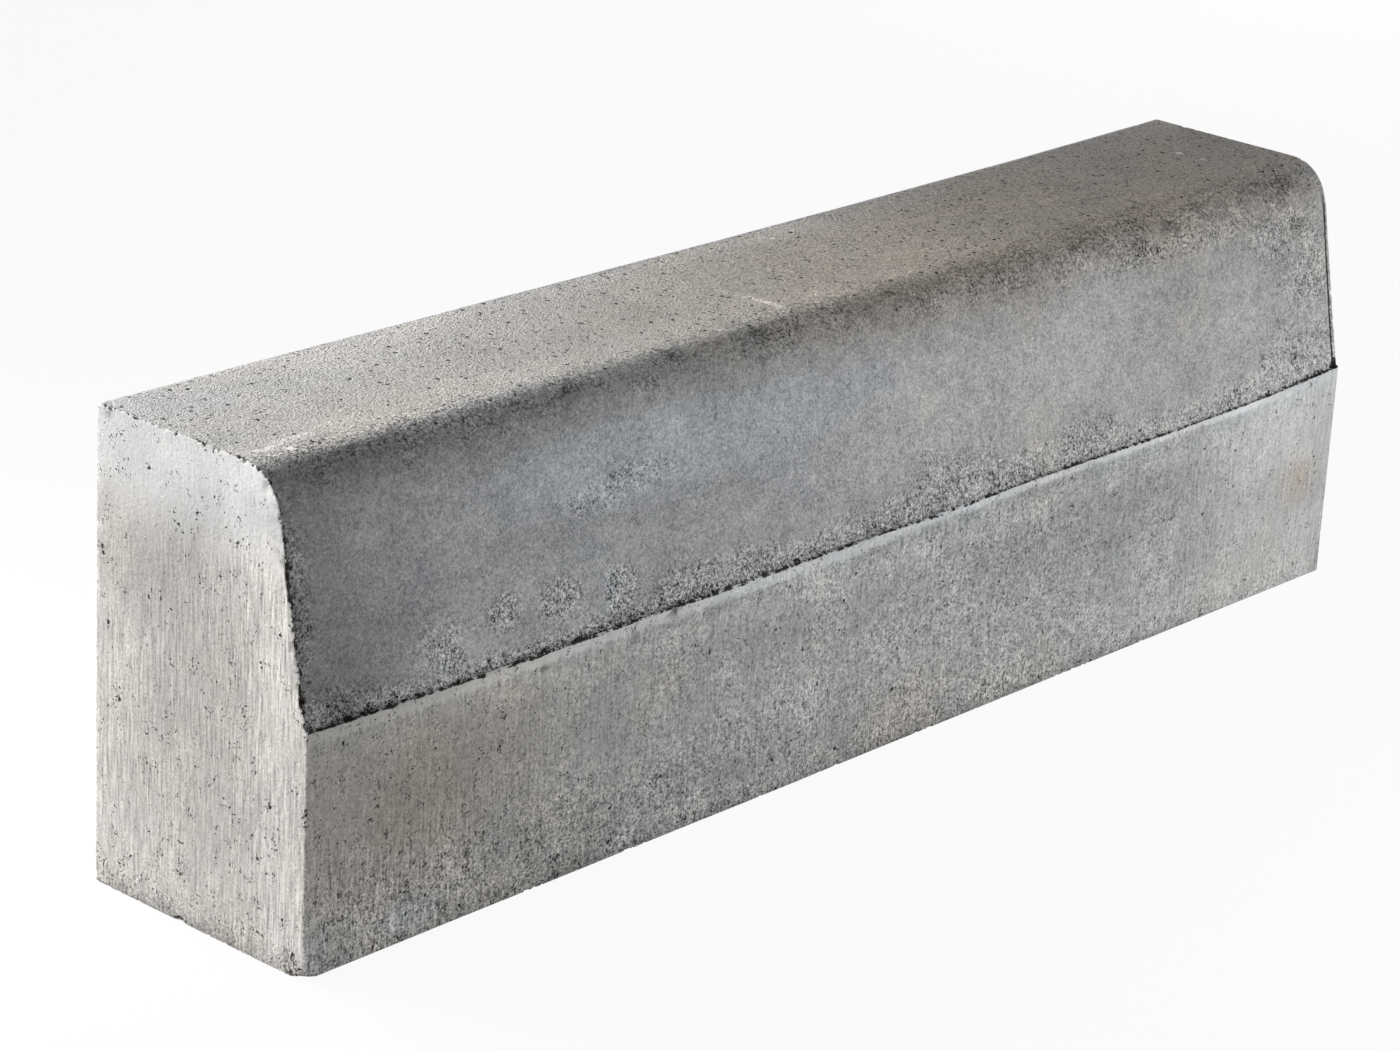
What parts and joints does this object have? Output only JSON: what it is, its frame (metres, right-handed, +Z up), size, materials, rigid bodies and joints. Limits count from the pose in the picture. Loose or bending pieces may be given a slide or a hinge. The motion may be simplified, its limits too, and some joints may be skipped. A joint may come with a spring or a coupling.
{
  "type": "concrete kerb stone",
  "caption": "Straight road kerb of pressed concrete: upright back and lower front, narrow ledge, battered upper front, rounded crown and flat top.",
  "frame": {"origin": "middle of the underside, on the ground", "axes": "+X along the kerb, -Y the road side, +Y the back, +Z up"},
  "size_m": [1, 0.18, 0.3],
  "materials": {
    "concrete": "bare pressed concrete, light grey, matt, pitted, rubbed upright by the mould on the ends and lower front, granular on the crown and top"
  },
  "bodies": {
    "root": {"kerb_stone": "concrete"}
  },
  "joints": []
}
